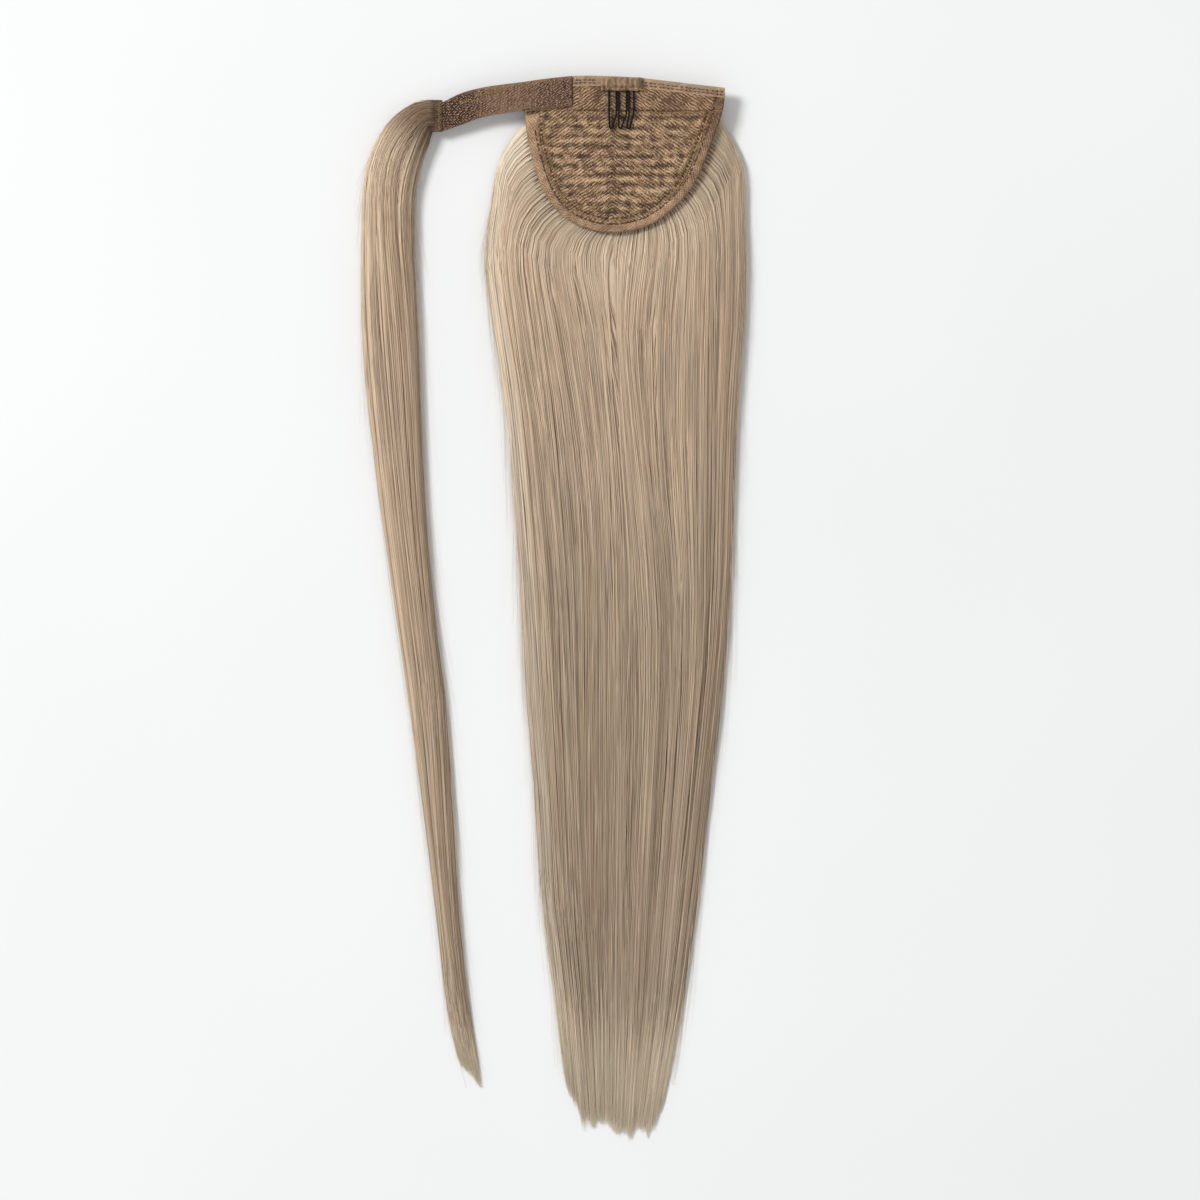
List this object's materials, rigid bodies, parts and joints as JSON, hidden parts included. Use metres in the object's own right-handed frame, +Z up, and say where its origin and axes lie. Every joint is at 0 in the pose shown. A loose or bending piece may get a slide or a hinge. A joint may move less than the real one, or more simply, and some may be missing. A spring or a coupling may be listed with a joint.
{
  "type": "ponytail hairpiece",
  "caption": "Long straight clip-in ponytail laid flat: a ribbed cloth base with a wire comb, a hook tape strap and a thin strand that wraps round.",
  "frame": {"origin": "centre of the whole part in plan, on the surface that the hair lies on", "axes": "+Y from the hair's tips to the base's top edge, +Z up out of the head side of the base, +X to the side away from the strap"},
  "size_m": [0.192, 0.5296, 0.0156],
  "materials": {
    "hair": "satin",
    "twill": "matte",
    "smooth_twill": "matte",
    "tape": "matte",
    "hook_tape": "matte",
    "weft_edge": "matte",
    "wire": "satin"
  },
  "bodies": {
    "root": {"hair_fall": "hair", "wrap_strand": "hair", "base_panel": "twill", "upper_band": "smooth_twill", "top_binding": "tape", "edge_binding": "tape", "comb_casing": "tape", "comb": "wire", "wrap_strap": "hook_tape", "strand_head": "weft_edge"}
  },
  "joints": []
}
